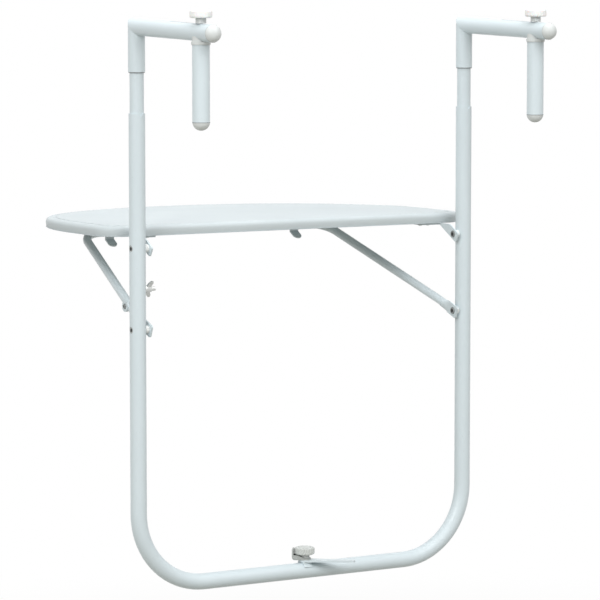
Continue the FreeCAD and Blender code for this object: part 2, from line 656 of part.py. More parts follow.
# Bent stop plate on top of the bar: under the knob's neck, and turned up behind the knob.
stop_z = bar_bottom + foot_bar_t
stop = box(-stop_reach - stop_t, 0.0, -stop_w / 2.0, stop_w / 2.0, stop_z, stop_z + stop_h)
outer_edge = [e for e in stop.Edges if abs(e.BoundBox.ZMax - stop_z) < 1e-6 and abs(e.BoundBox.XMax + stop_reach + stop_t) < 1e-6]
stop = stop.makeFillet(stop_bend_r, outer_edge)
room = box(-stop_reach, 1.0, -stop_w, stop_w, stop_z + stop_t, stop_z + stop_h + 1.0)
inner_edge = [e for e in room.Edges if abs(e.BoundBox.ZMax - stop_z - stop_t) < 1e-6 and abs(e.BoundBox.XMax + stop_reach) < 1e-6]
stop = stop.cut(room.makeFillet(stop_bend_r - stop_t, inner_edge))
stop = stop.fuse(cyl(stop_w / 2.0, V(0, 0, stop_z), V(0, 0, stop_z + stop_t))).removeSplitter()
stop = stop.cut(cyl(bolt_r + run_gap, V(0, 0, stop_z - 1), V(0, 0, stop_z + 10)))
stop.rotate(V(0, 0, 0), V(0, 0, 1), foot_bar_angle)
foot_neck_z = stop_z + stop_t
foot_disc_z = foot_neck_z + foot_neck_h
foot_screw = cyl(bolt_r, V(0, 0, 5.0), V(0, 0, foot_disc_z + 6.0))
foot_nut = cyl(4.4, V(0, 0, 3.5), V(0, 0, leg_r + 5.0)).common(cyl(leg_r, V(-9, 0, 0), V(9, 0, 0)))
foot_nut = foot_nut.cut(cyl(bolt_r + fit_gap, V(0, 0, 0), V(0, 0, 30)))
for name, shape in (("foot_saddle", clip), ("foot_bar", foot_bar), ("foot_stop", stop),
                    ("foot_knob", knob_disc(0, 0, foot_disc_z, foot_knob_r, knob_disc_h, foot_flute_depth).cut(foot_screw)),
                    ("foot_knob_neck", knob_neck(0, 0, foot_neck_z, foot_neck_r, foot_neck_h).cut(foot_screw)),
                    ("foot_screw", foot_screw), ("foot_nut", foot_nut)):
    shape.translate(V(foot_x, 0, 0))
    add(name, shape)

shift = V(0, -seat_y, -seat_z)
for name in sorted(parts):
    shape = parts[name]
    shape.translate(shift)
    solids = shape.Solids
    if not shape.isValid() or not solids or min(q.Volume for q in solids) <= 0:
        print("CHECK", name, shape.isValid(), len(solids))
    if len(solids) == 1:
        shape = solids[0]
    shape.exportStep("parts/" + name + ".step")
    print(name, len(solids), round(sum(q.Volume for q in solids)))
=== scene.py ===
"""Hanging balcony table: finishes, woven tabletop relief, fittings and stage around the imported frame."""
import bisect
import json
import math

import bmesh
import bpy
from mathutils import Matrix, Vector, kdtree

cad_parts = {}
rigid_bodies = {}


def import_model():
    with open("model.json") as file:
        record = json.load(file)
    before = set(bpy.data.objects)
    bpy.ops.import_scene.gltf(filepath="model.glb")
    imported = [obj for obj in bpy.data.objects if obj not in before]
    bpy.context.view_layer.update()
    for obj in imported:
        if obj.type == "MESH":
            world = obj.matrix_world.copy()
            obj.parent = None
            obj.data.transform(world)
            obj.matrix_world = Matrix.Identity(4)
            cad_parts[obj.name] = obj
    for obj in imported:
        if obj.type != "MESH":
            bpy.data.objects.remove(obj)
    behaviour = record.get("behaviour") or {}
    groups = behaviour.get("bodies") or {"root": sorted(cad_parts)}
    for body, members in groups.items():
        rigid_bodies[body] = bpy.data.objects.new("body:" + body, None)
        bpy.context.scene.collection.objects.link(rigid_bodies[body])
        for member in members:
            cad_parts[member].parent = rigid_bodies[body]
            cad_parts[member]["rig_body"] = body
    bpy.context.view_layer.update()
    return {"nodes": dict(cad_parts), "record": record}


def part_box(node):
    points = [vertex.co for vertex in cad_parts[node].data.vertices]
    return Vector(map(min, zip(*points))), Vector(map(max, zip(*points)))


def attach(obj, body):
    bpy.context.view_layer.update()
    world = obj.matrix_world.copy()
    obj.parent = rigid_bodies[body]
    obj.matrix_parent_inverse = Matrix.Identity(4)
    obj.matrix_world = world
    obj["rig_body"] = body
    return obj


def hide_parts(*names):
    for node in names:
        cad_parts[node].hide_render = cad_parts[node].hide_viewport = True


bl_info = {
    "name": "Hanging Balcony Table",
    "version": (1, 0, 0),
    "blender": (4, 5, 0),
    "location": "View3D > Sidebar > Balcony Table",
    "description": "Dresses a folding half-round balcony table and sets it on a pale studio stage",
    "category": "Object",
}

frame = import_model()

top_low, top_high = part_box("tabletop")
leg_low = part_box("frame_tube")[0]

nodes_by_slot = {}
for entry in frame["record"]["subparts"]:
    nodes_by_slot.setdefault(entry["material_slot"], []).append(entry["node"])


class FinishSettings(bpy.types.PropertyGroup):
    coat: bpy.props.FloatVectorProperty(
        name="Powder coat", description="White of the coated steel tubes", subtype="COLOR",
        size=3, min=0.0, max=1.0, default=(0.665, 0.745, 0.782))
    coat_shade: bpy.props.FloatVectorProperty(
        name="Coat clouding", description="Slightly greyer white that clouds the coat", subtype="COLOR",
        size=3, min=0.0, max=1.0, default=(0.625, 0.705, 0.742))
    coat_roughness: bpy.props.FloatProperty(
        name="Coat roughness", description="Roughness of the coat", subtype="FACTOR",
        min=0.0, max=1.0, default=0.36)
    top: bpy.props.FloatVectorProperty(
        name="Tabletop", description="Bluish white of the moulded tabletop", subtype="COLOR",
        size=3, min=0.0, max=1.0, default=(0.59, 0.65, 0.672))
    top_shade: bpy.props.FloatVectorProperty(
        name="Tabletop hollows", description="Colour between the strands of the relief", subtype="COLOR",
        size=3, min=0.0, max=1.0, default=(0.545, 0.60, 0.625))
    cap: bpy.props.FloatVectorProperty(
        name="End caps", description="Pale grey plastic of the end caps", subtype="COLOR",
        size=3, min=0.0, max=1.0, default=(0.68, 0.71, 0.708))
    knob: bpy.props.FloatVectorProperty(
        name="Knobs", description="White of the clamp knobs", subtype="COLOR",
        size=3, min=0.0, max=1.0, default=(0.88, 0.89, 0.88))
    foot_knob: bpy.props.FloatVectorProperty(
        name="Foot knob", description="Grey of the foot knob", subtype="COLOR",
        size=3, min=0.0, max=1.0, default=(0.66, 0.69, 0.675))
    socket: bpy.props.FloatProperty(
        name="Socket size", description="Half the width of a bolt's hexagon socket across its corners",
        unit="LENGTH", min=0.001, max=0.004, default=0.0031)


class TopSettings(bpy.types.PropertyGroup):
    strand: bpy.props.FloatProperty(
        name="Strand width", description="Width of one strand of the woven relief", unit="LENGTH",
        min=0.004, max=0.03, default=0.011)
    relief: bpy.props.FloatProperty(
        name="Relief height", description="Height of the woven relief", unit="LENGTH",
        min=0.0002, max=0.002, default=0.0005)
    border: bpy.props.FloatProperty(
        name="Border width", description="Plain border round the woven relief", unit="LENGTH",
        min=0.008, max=0.04, default=0.0155)
    fullness: bpy.props.FloatProperty(
        name="Fullness", description="Power of the far side's curve, 2 for an ellipse",
        min=1.8, max=3.0, default=2.22)
    far_reach: bpy.props.FloatProperty(
        name="Far reach", description="Depth of the tabletop from its near side", unit="LENGTH",
        min=0.3, max=0.426, default=0.411)
    straight_end: bpy.props.FloatProperty(
        name="Straight end", description="Length of the straight end from the near side to the round",
        unit="LENGTH", min=0.05, max=0.2, default=0.111)
    corner: bpy.props.FloatProperty(
        name="Near corner", description="Radius of the two near corners", unit="LENGTH",
        min=0.02, max=0.08, default=0.042)
    crown: bpy.props.FloatProperty(
        name="Crown", description="How far the top falls towards its edge", unit="LENGTH",
        min=0.0, max=0.004, default=0.0001)
    far_crown: bpy.props.FloatProperty(
        name="Far crown", description="How much further the top falls at its far side", unit="LENGTH",
        min=0.0, max=0.004, default=0.0040)
    crown_width: bpy.props.FloatProperty(
        name="Crown width", description="Width of the strip along the edge over which the top falls",
        unit="LENGTH", min=0.01, max=0.1, default=0.056)
    roll: bpy.props.FloatProperty(
        name="Edge roll", description="How far the rolled upper edge reaches in", unit="LENGTH",
        min=0.004, max=0.012, default=0.0056)
    tuck: bpy.props.FloatProperty(
        name="Edge tuck", description="How far the edge is drawn in at its lower side", unit="LENGTH",
        min=0.0, max=0.002, default=0.0016)
    step: bpy.props.FloatProperty(
        name="Border step", description="How far the border lies below the woven panel", unit="LENGTH",
        min=0.0, max=0.002, default=0.0005)
    bead_pitch: bpy.props.FloatProperty(
        name="Bead pitch", description="Distance from bead to bead on the border", unit="LENGTH",
        min=0.004, max=0.03, default=0.0115)
    # This dark ring paints the shadow line under each sleeve.
    shadow_ring_height: bpy.props.FloatProperty(
        name="Shadow ring height", description="Height of the dark ring that paints the shadow line under each sleeve",
        unit="LENGTH", min=0.0002, max=0.003, default=0.0010)


class StageSettings(bpy.types.PropertyGroup):
    floor_drop: bpy.props.FloatProperty(
        name="Floor drop", description="Space between the bottom tube and the floor", unit="LENGTH",
        min=0.0, max=1.0, default=0.22)
    sky: bpy.props.FloatProperty(
        name="Sky light", description="Strength of the even light from all round",
        min=0.0, max=2.0, default=0.44)
    overhead: bpy.props.FloatProperty(
        name="Overhead light", description="Power of the soft light above", unit="POWER",
        min=0.0, max=500.0, default=42.0)
    key: bpy.props.FloatProperty(
        name="Front light", description="Power of the soft light above the camera", unit="POWER",
        min=0.0, max=500.0, default=92.0)
    fill: bpy.props.FloatProperty(
        name="Left light", description="Power of the soft light on the left", unit="POWER",
        min=0.0, max=500.0, default=68.0)


class Value:
    """A shader socket that Python arithmetic can act on."""

    def __init__(self, tree, socket):
        self.tree = tree
        self.socket = socket

    def math(self, operation, first, second):
        node = self.tree.nodes.new("ShaderNodeMath")
        node.operation = operation
        for slot, value in zip(node.inputs, (first, second)):
            if isinstance(value, Value):
                self.tree.links.new(value.socket, slot)
            else:
                slot.default_value = value
        return Value(self.tree, node.outputs[0])

    def __add__(self, other):
        return self.math("ADD", self, other)

    __radd__ = __add__

    def __sub__(self, other):
        return self.math("SUBTRACT", self, other)

    def __rsub__(self, other):
        return self.math("SUBTRACT", other, self)

    def __mul__(self, other):
        return self.math("MULTIPLY", self, other)

    __rmul__ = __mul__

    def __gt__(self, edge):
        return self.math("GREATER_THAN", self, edge)

    def either(self, other):
        return self.math("MAXIMUM", self, other)


class Wiring:
    """A node tree with one method that adds any node to it."""

    def __init__(self, tree):
        self.tree = tree

    def feed(self, slot, value):
        """Links a value to a socket, or writes a plain number, colour or vector on it."""
        if isinstance(value, Value):
            self.tree.links.new(value.socket, slot)
        elif slot.type == "RGBA":
            slot.default_value = (*value, 1.0)
        else:
            slot.default_value = value

    def node(self, kind, settings, sockets, output=0):
        node = self.tree.nodes.new(kind)
        for name, value in settings.items():
            setattr(node, name, value)
        for name, value in sockets.items():
            self.feed(node.inputs[name], value)
        return Value(self.tree, node.outputs[output])

    def shows(self):
        """1 on the rays that show a surface itself: seen directly, in a gloss or through glass."""
        seen = self.node("ShaderNodeLightPath", {}, {}, "Is Camera Ray")
        for ray in ("Is Glossy Ray", "Is Transmission Ray"):
            seen = seen.either(self.node("ShaderNodeLightPath", {}, {}, ray))
        return seen


class Finish(Wiring):
    """A material of one shader."""

    def __init__(self, name, plain):
        self.material = bpy.data.materials.new(name)
        self.material.use_nodes = True
        super().__init__(self.material.node_tree)
        self.shader = self.tree.nodes["Principled BSDF"]
        for socket, value in plain.items():
            self.set(socket, value)

    def set(self, socket, value):
        self.feed(self.shader.inputs[socket], value)

    def place(self):
        return self.node("ShaderNodeTexCoord", {}, {}, "Object")

    def stretch(self, x, y, z):
        return self.node("ShaderNodeMapping", {"vector_type": "POINT"}, {
            "Vector": self.place(), "Scale": Vector((x, y, z))})

    def noise(self, where, scale, detail=2.0, roughness=0.5):
        return self.node("ShaderNodeTexNoise", {}, {
            "Vector": where, "Scale": scale, "Detail": detail, "Roughness": roughness}, "Fac")

    def blend(self, share, first, second):
        return self.node("ShaderNodeMix", {"data_type": "RGBA"}, {0: share, 6: first, 7: second}, 2)

    def bump(self, height, distance, strength=1.0):
        self.set("Normal", self.node("ShaderNodeBump", {}, {
            "Height": height, "Distance": distance, "Strength": strength}))


def finishes():
    return bpy.context.scene.table_finish


def dress(slot_name, finish, only=""):
    """Gives every CAD node of a record slot this finish, or those whose names hold a word."""
    for name in nodes_by_slot[slot_name]:
        if only not in name:
            continue
        mesh = frame["nodes"][name].data
        mesh.materials.clear()
        mesh.materials.append(finish.material)


def moulded(name, colour, shade, roughness, grain_scale, grain_depth):
    """A moulded plastic: faint clouding, a fine grain and a slightly uneven gloss."""
    skin = Finish(name, {"Roughness": roughness, "Specular IOR Level": 0.4})
    where = skin.place()
    cloud = skin.noise(where, 14.0, 4.0)
    grain = skin.noise(where, grain_scale, 3.0, 0.6)
    skin.set("Base Color", skin.blend(cloud, colour, shade))
    skin.set("Roughness", roughness - 0.06 + 0.16 * cloud)
    skin.bump(grain, grain_depth, 0.6)
    return skin


def piece(name, mesh, body, material):
    """Adds a finished mesh to the scene, riding on a body."""
    obj = bpy.data.objects.new(name, mesh)
    bpy.context.collection.objects.link(obj)
    mesh.materials.append(material)
    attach(obj, body)
    return obj


def body_of(node):
    """The body that carries a CAD node."""
    return frame["nodes"][node]["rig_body"]


def to_mesh(bm, name, smooth_angle=None):
    mesh = bpy.data.meshes.new(name)
    bmesh.ops.recalc_face_normals(bm, faces=bm.faces)
    for face in bm.faces:
        face.smooth = smooth_angle is not None
    bm.to_mesh(mesh)
    bm.free()
    return mesh


class TABLE_OT_coated_steel(bpy.types.Operator):
    """White powder coat on the frame tube, hooks, posts, stay, brackets and flat bars"""
    bl_idname = "balcony_table.coated_steel"
    bl_label = "Coated steel"

    def execute(self, context):
        look = finishes()
        coat = Finish("white_powder_coat", {
            "Specular IOR Level": 0.45, "Coat Weight": 0.12, "Coat Roughness": 0.2})
        where = coat.place()
        cloud = coat.noise(where, 7.0, 4.0)
        peel = coat.noise(where, 900.0, 2.0)
        speck = coat.noise(where, 330.0, 1.0) > 0.76
        speck_grey = (0.45, 0.46, 0.46)
        tone = coat.blend(cloud, look.coat, look.coat_shade)
        coat.set("Base Color", coat.blend(0.25 * speck, tone, speck_grey))
        coat.set("Roughness", look.coat_roughness - 0.05 + 0.12 * cloud)
        coat.bump(peel, 0.00008, 0.7)
        dress("coated_steel", coat)
        return {"FINISHED"}


class TABLE_OT_sleeve_shadow_rings(bpy.types.Operator):
    """Dark rings that paint the shadow line under each sleeve, and painted shadow lines where saddles and
    caps meet the tubes
    """
    bl_idname = "balcony_table.sleeve_bushes"
    bl_label = "Sleeve shadow rings"

    # A ring of painted shadow at a joint reaches this far into its tube's wall, and stands this far out of
    # it.
    seam_sunk = 0.001
    seam_proud = 0.00012
    # The painted shadow ring under each sleeve is sunk into the insert, stays inside the sleeve's outline,
    # and enters the sleeve.
    ring_sunk = 0.0002
    ring_shy = 0.0006
    ring_entry = 0.0003

    def execute(self, context):
        size = context.scene.table_top
        # Flat greys that paint shadow lines: the darker one under the sleeves and at the post caps, the
        # paler one at the saddles and arm caps.
        shadow_line_grey = Finish("painted_shadow_line_grey", {"Roughness": 0.6, "Base Color": (0.22, 0.23, 0.235)})
        seam = Finish("seam_shadow", {"Roughness": 0.7, "Base Color": (0.42, 0.445, 0.45)})
        upright = Vector((0.0, 0.0, 1.0))
        forward = Vector((0.0, 1.0, 0.0))
        for side in ("left", "right"):
            low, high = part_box("hook_arm_" + side)
            insert_low, insert_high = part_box("insert_tube_" + side)
            axis = (insert_low + insert_high) / 2
            inner = (insert_high.x - insert_low.x) / 2 - self.ring_sunk
            outer = (high.x - low.x) / 2 - self.ring_shy
            self.ring("sleeve_shadow_ring_" + side, "hook_arm_" + side, shadow_line_grey, Vector((axis.x, axis.y, low.z)),
                      upright, inner, outer, -size.shadow_ring_height, self.ring_entry)
            post_low, post_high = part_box("post_tube_" + side)
            post = (post_low + post_high) / 2
            tube_r = (post_high.x - post_low.x) / 2
            cap_low, cap_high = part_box("arm_end_cap_" + side)
            cap = (cap_low + cap_high) / 2
            post_top = Vector((post.x, post.y, post_high.z))
            post_bottom = Vector((post.x, post.y, post_low.z))
            arm_end = Vector((cap.x, low.y, cap.z))
            seams = (("post_seam_", "post_tube_", seam, post_top, upright, -0.0005, 0.0002),
                     ("post_cap_seam_", "post_tube_", shadow_line_grey, post_bottom, upright, -0.0003, 0.0005),
                     ("arm_cap_seam_", "hook_arm_", seam, arm_end, forward, -0.0001, 0.0004))
            for title, carrier, finish, centre, along, start, end in seams:
                self.ring(title + side, carrier + side, finish, centre, along,
                          tube_r - self.seam_sunk, tube_r + self.seam_proud, start, end)
        return {"FINISHED"}

    @staticmethod
    def ring(name, node, finish, centre, along, inner, outer, start, end):
        """A turned ring about an axis through centre, from start to end along it."""
        out = Vector((1.0, 0.0, 0.0))
        bm = bmesh.new()
        corners = [bm.verts.new(centre + r * out + t * along) for r, t in (
            (inner, start), (outer, start), (outer, end), (inner, end))]
        edges = [bm.edges.new(pair) for pair in zip(corners, corners[1:] + corners[:1])]
        bmesh.ops.spin(bm, geom=corners + edges, cent=centre, axis=along, dvec=(0.0, 0.0, 0.0),
                       angle=2 * math.pi, steps=48, use_merge=True)
        piece(name, to_mesh(bm, name), body_of(node), finish.material)


class TABLE_OT_plastic_fittings(bpy.types.Operator):
    """Pale plastic of the end caps, saddles, spacers and knobs"""
    bl_idname = "balcony_table.plastic_fittings"
    bl_label = "Plastic fittings"

    def execute(self, context):
        look = finishes()
        cap_shade = [0.93 * c for c in look.cap]
        dress("cap_plastic", moulded("grey_cap_plastic", look.cap, cap_shade, 0.42, 700.0, 0.00006))
        white = (0.88, 0.89, 0.88)
        white_shade = (0.82, 0.83, 0.82)
        dress("spacer_plastic", moulded("white_spacer_plastic", white, white_shade, 0.4, 800.0, 0.00005))
        knob_shade = [0.95 * c for c in look.knob]
        knob = moulded("white_knob_plastic", look.knob, knob_shade, 0.28, 500.0, 0.00003)
        knob.set("Subsurface Weight", 0.12)
        knob.set("Subsurface Scale", 0.004)
        dress("knob_plastic", knob)
        foot_shade = [0.8 * c for c in look.foot_knob]
        foot = moulded("grey_foot_knob_plastic", look.foot_knob, foot_shade, 0.35, 600.0, 0.00005)
        dress("foot_knob_plastic", foot)
        return {"FINISHED"}


class TABLE_OT_metal_fittings(bpy.types.Operator):
    """Zinc-plated nuts and screws, blackened steel parts with worn grey bolts and a grey foot stop, and the
    knobs' ringed necks
    """
    bl_idname = "balcony_table.metal_fittings"
    bl_label = "Metal fittings"

    # Record slot, name, light and dark shade, roughness, metallic share, and the word that picks its nodes.
    metals = (
        ("zinc_steel", "zinc_plated_steel", (0.70, 0.71, 0.695), (0.54, 0.555, 0.545), 0.34, 0.9, ""),
        ("neck_metal", "grey_neck_metal", (0.70, 0.72, 0.715), (0.58, 0.60, 0.595), 0.45, 0.3, ""),
        ("dark_steel", "blackened_steel", (0.30, 0.315, 0.31), (0.20, 0.21, 0.21), 0.42, 0.7, ""),
        ("dark_steel", "worn_bolt_steel", (0.46, 0.48, 0.47), (0.32, 0.34, 0.33), 0.42, 0.7, "bolt"),
        ("dark_steel", "grey_stop_steel", (0.46, 0.48, 0.47), (0.36, 0.38, 0.37), 0.5, 0.2, "stop"))

    def execute(self, context):
        for row in self.metals:
            self.metal(*row)
        return {"FINISHED"}

    @staticmethod
    def metal(slot_name, title, light, dark, roughness, metallic, only):
        metal = Finish(title, {"Metallic": metallic})
        where = metal.place()
        spangle = metal.noise(where, 240.0, 3.0)
        rub = metal.noise(metal.stretch(60.0, 60.0, 900.0), 4.0, 2.0)
        metal.set("Base Color", metal.blend(spangle, light, dark))
        metal.set("Roughness", roughness - 0.08 + 0.18 * spangle)
        metal.bump(rub, 0.00003, 0.5)
        dress(slot_name, metal, only)


def tabletop_finish():
    look = finishes()
    skin = Finish("woven_top_plastic", {"Specular IOR Level": 0.35})
    where = skin.place()
    cloud = skin.noise(where, 10.0, 4.0)
    grain = skin.noise(where, 650.0, 3.0, 0.6)
    fleck = skin.noise(skin.stretch(1.0, 6.0, 1.0), 90.0, 2.0)
    tone = skin.blend(0.6 * cloud + 0.25 * fleck, look.top, look.top_shade)
    skin.set("Base Color", tone)
    skin.set("Roughness", 0.42 + 0.14 * cloud)
    skin.bump(grain, 0.00006, 0.6)
    return skin


def cad_edge(steps=720):
    """The CAD tabletop's edge as points with outward directions, from its right corner anticlockwise."""
    # The round's depth and the near corners' radius are the ones in the part's source.
    half = (top_high.x - top_low.x) / 2
    depth = 0.299
    centre_y = top_high.y - depth
    corner = 0.070
    corner_y = top_low.y + corner

    def ellipse(a):
        return Vector((half * math.cos(a), centre_y + depth * math.sin(a), 0.0))

    # The corner circle is slid outwards until it touches the ellipse from inside.
    low, high = 0.5 * half, half
    for _ in range(40):
        corner_x = (low + high) / 2
        centre = Vector((corner_x, corner_y, 0.0))
        quarter = (-math.pi * i / 720 for i in range(361))
        touch = min(quarter, key=lambda a: (ellipse(a) - centre).length)
        if (ellipse(touch) - centre).length > corner:
            low = corner_x
        else:
            high = corner_x
    edge = []
    for i in range(steps + 1):
        a = touch + (math.pi - 2 * touch) * i / steps
        out = Vector((math.cos(a) / half, math.sin(a) / depth, 0.0)).normalized()
        edge.append((ellipse(a), out))
    meet = ellipse(touch) - centre
    start = math.atan2(meet.y, meet.x)
    return close_near_side(edge, corner_x, corner_y, corner, start, 60, 300)


def close_near_side(edge, corner_x, corner_y, corner, start, corner_steps, near_steps):
    """Adds the left corner, the straight near side and the right corner to an edge."""
    turns = [start + (-0.5 * math.pi - start) * i / corner_steps for i in range(1, corner_steps + 1)]
    outs = [Vector((math.cos(a), math.sin(a), 0.0)) for a in turns]
    right = [(Vector((corner_x, corner_y, 0.0)) + corner * out, out) for out in outs]
    left = [(Vector((-at.x, at.y, 0.0)), Vector((-out.x, out.y, 0.0))) for at, out in right]
    near = Vector((0.0, -1.0, 0.0))
    ends = left[-1][0], right[-1][0]
    line = [(ends[0].lerp(ends[1], i / near_steps), near) for i in range(1, near_steps)]
    return edge + left + line + right[::-1]


def top_edge(steps=110, corner_steps=16, side_steps=1, near_steps=1):
    """The photographed edge: a full round far side, straight ends and small near corners."""
    size = bpy.context.scene.table_top
    inside_box = 0.0001
    half = (top_high.x - top_low.x) / 2 - inside_box
    power = size.fullness
    centre_y = top_low.y + size.straight_end
    depth = size.far_reach - size.straight_end
    corner_y = top_low.y + size.corner
    edge = []
    for i in range(steps + 1):
        a = math.pi * i / steps
        across = math.copysign(abs(math.cos(a)) ** (2 / power), math.cos(a))
        up = abs(math.sin(a)) ** (2 / power)
        out_x = math.copysign(abs(across) ** (power - 1), across) / half
        out_y = up ** (power - 1) / depth
        out = Vector((out_x, out_y, 0.0))
        edge.append((Vector((half * across, centre_y + depth * up, 0.0)), out.normalized()))
    rises = [corner_y + (centre_y - corner_y) * i / side_steps for i in range(side_steps)]
    side = [(Vector((half, y, 0.0)), Vector((1.0, 0.0, 0.0))) for y in rises]
    mirrored = [(Vector((-at.x, at.y, 0.0)), Vector((-1.0, 0.0, 0.0))) for at, out in side[::-1]]
    return close_near_side(side + edge + mirrored, half - size.corner, corner_y, size.corner, 0.0,
                           corner_steps, near_steps)


def drawn_in(edge, inset):
    """The points of an edge moved inwards."""
    return [at - inset * out for at, out in edge]


class Edge:
    """An edge that shapes can follow: the nearest place on it, and the place in a given direction."""

    middle = Vector((0.0, 0.26, 0.0))

    def __init__(self, points):
        self.points = points
        self.tree = kdtree.KDTree(len(points))
        for index, (at, _) in enumerate(points):
            self.tree.insert(at, index)
        self.tree.balance()
        self.turns = sorted((self.turn(at), index) for index, (at, _) in enumerate(points))

    def turn(self, at):
        return math.atan2(at.y - self.middle.y, at.x - self.middle.x)

    def inset(self, co):
        """Distance from the edge, and the nearest place on it."""
        flat = Vector((co.x, co.y, 0.0))
        at, out = self.points[self.tree.find(flat)[1]]
        inset = (at - flat).dot(out)
        return inset, flat + inset * out

    def towards(self, at):
        """The place on this edge in the direction of a point, with its outward direction."""
        turn = self.turn(at)
        after = bisect.bisect(self.turns, (turn, 0)) % len(self.turns)
        (a, first), (b, second) = self.turns[after - 1], self.turns[after]
        share = min(1.0, (turn - a) % (2 * math.pi) / max(1e-9, (b - a) % (2 * math.pi)))
        place, out = (start.lerp(end, share) for start, end in zip(self.points[first], self.points[second]))
        return place, out.normalized()


def fall(inset, y, size, near=1.0):
    """How far the crowned top lies below its middle at a distance from the edge, most at the far side."""
    far_start = 0.18
    far_stretch = 0.2
    far = min(1.0, max(0.0, (y - top_low.y - far_start) / far_stretch))
    return (near * size.crown + far * size.far_crown) * max(0.0, 1.0 - inset / size.crown_width) ** 2


class TABLE_OT_sockets(bpy.types.Operator):
    """Near-black hexagon discs on the heads of the pivot bolts and their sleeve nuts, painting the shade
    inside their sockets
    """
    bl_idname = "balcony_table.sockets"
    bl_label = "Sockets"

    def execute(self, context):
        width = finishes().socket
        depth = 0.0003
        # A flat near-black hexagon on each face stands in for the shade inside the socket.
        shadow = Finish("painted_socket_shade", {"Roughness": 0.7, "Base Color": (0.012, 0.013, 0.013)})
        for part in ("hinge_bolt", "hinge_nut", "stay_bolt", "stay_nut"):
            for side, sign in (("left", -1), ("right", 1)):
                low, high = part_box(part + "_" + side)
                outwards = sign if part.endswith("bolt") else -sign
                face_x = high.x if outwards > 0 else low.x
                bm = bmesh.new()
                bmesh.ops.create_cone(bm, cap_ends=True, segments=6, radius1=width, radius2=width,
                                      depth=depth)
                turn = Matrix.Rotation(math.pi / 2, 4, "Y")
                middle = Vector((face_x, (low.y + high.y) / 2, (low.z + high.z) / 2))
                bmesh.ops.transform(bm, verts=bm.verts, matrix=Matrix.Translation(middle) @ turn)
                name = "socket_" + part + "_" + side
                piece(name, to_mesh(bm, name), body_of(part + "_" + side), shadow.material)
        return {"FINISHED"}


class TABLE_OT_foot_cheeks(bpy.types.Operator):
    """Two cheeks that stiffen the bent stop plate under the foot knob"""
    bl_idname = "balcony_table.foot_cheeks"
    bl_label = "Foot cheeks"

    def execute(self, context):
        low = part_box("foot_stop")[0]
        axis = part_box("foot_screw")
        middle = Vector(((axis[0].x + axis[1].x) / 2, (axis[0].y + axis[1].y) / 2, 0.0))
        bar_turn = Matrix.Rotation(math.radians(-36.5), 4, "Z")
        half_width = 0.0094
        thickness = 0.0012
        # The pair sits this far off the plate's middle.
        off_middle = 0.0006
        back = -0.0168
        front = -0.0006
        profile = ((back, low.z + 0.0020), (front, low.z + 0.0020), (front, low.z + 0.0034),
                   (-0.0100, low.z + 0.0074), (back, low.z + 0.0076))
        bm = bmesh.new()
        for side in (-1, 1):
            y = side * half_width - off_middle
            plate = bm.faces.new([bm.verts.new((x, y, z)) for x, z in profile])
            made = bmesh.ops.extrude_face_region(bm, geom=[plate])
            moved = [g for g in made["geom"] if isinstance(g, bmesh.types.BMVert)]
            bmesh.ops.translate(bm, verts=moved, vec=(0.0, -side * thickness, 0.0))
        bmesh.ops.transform(bm, verts=bm.verts, matrix=Matrix.Translation(middle) @ bar_turn)
        steel = bpy.data.materials["grey_stop_steel"]
        piece("foot_cheeks", to_mesh(bm, "foot_cheeks"), body_of("foot_stop"), steel)
        return {"FINISHED"}


